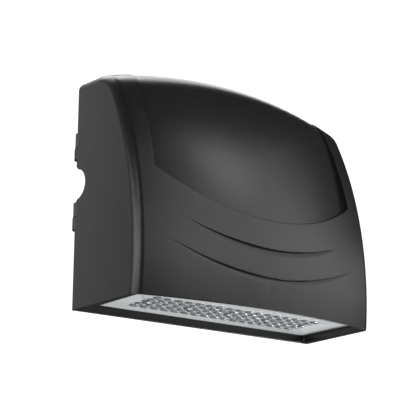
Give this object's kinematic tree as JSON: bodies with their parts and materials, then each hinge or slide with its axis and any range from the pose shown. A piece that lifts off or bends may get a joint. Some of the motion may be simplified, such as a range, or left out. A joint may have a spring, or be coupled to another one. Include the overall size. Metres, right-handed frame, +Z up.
{
  "type": "outdoor wall pack light",
  "caption": "Full cut-off outdoor wall light: a bulged, arched cast cover with a sunk shield panel, hinged on a wall box, with a downward optics plate.",
  "frame": {"origin": "middle of the wiring opening, on the wall face of the back box", "axes": "+X to the right as seen from the front, +Y towards the wall, +Z up"},
  "size_m": [0.3266, 0.1502, 0.2559],
  "materials": {
    "cast_black": "black fine-textured powder coat on die-cast aluminium",
    "clear_plate": "clear moulded optics plate",
    "black_rubber": "matt",
    "grey_rubber": "soft heat pad",
    "stainless": "stainless steel",
    "white_board": "white solder mask on a metal core",
    "yellow_emitter": "phosphor",
    "red_wire": "insulated wire",
    "galvanised": "zinc-coated sheet steel",
    "driver_case": "white painted steel case",
    "terminal_plastic": "moulded plastic",
    "black_plug": "black plastic",
    "ground_green": "green-dyed steel"
  },
  "bodies": {
    "base": {"back_box": "cast_black", "box_gasket": "black_rubber", "conduit_plugs": "black_plug", "hinge_pins": "stainless", "ground_washer": "stainless", "ground_screw": "ground_green"},
    "door": {"front_cover": "cast_black", "lens_array": "clear_plate", "lens_gasket": "black_rubber", "lens_screws": "stainless", "thermal_pad": "grey_rubber", "led_board": "white_board", "led_emitters": "yellow_emitter", "led_leads": "red_wire", "lead_grommet": "black_rubber", "gear_pan": "galvanised", "pan_screws": "stainless", "pan_grommet": "black_rubber", "driver": "driver_case", "driver_screws": "stainless", "supply_terminal": "terminal_plastic", "terminal_screws": "stainless", "screw_retainers": "stainless"},
    "closing_upper": {"closing_screw_upper": "stainless"},
    "closing_lower": {"closing_screw_lower": "stainless"}
  },
  "joints": [
    {"name": "door_hinge", "type": "hinge", "parent": "base", "child": "door", "pos_m": [-0.1485, -0.0255, 0], "axis": [0, 0, -1], "range_deg": [0, 95]},
    {"name": "closing_upper_slide", "type": "slide", "parent": "door", "child": "closing_upper", "axis": [0, -1, 0], "range_m": [0, 0.0066]},
    {"name": "closing_lower_slide", "type": "slide", "parent": "door", "child": "closing_lower", "axis": [0, -1, 0], "range_m": [0, 0.0066]}
  ]
}
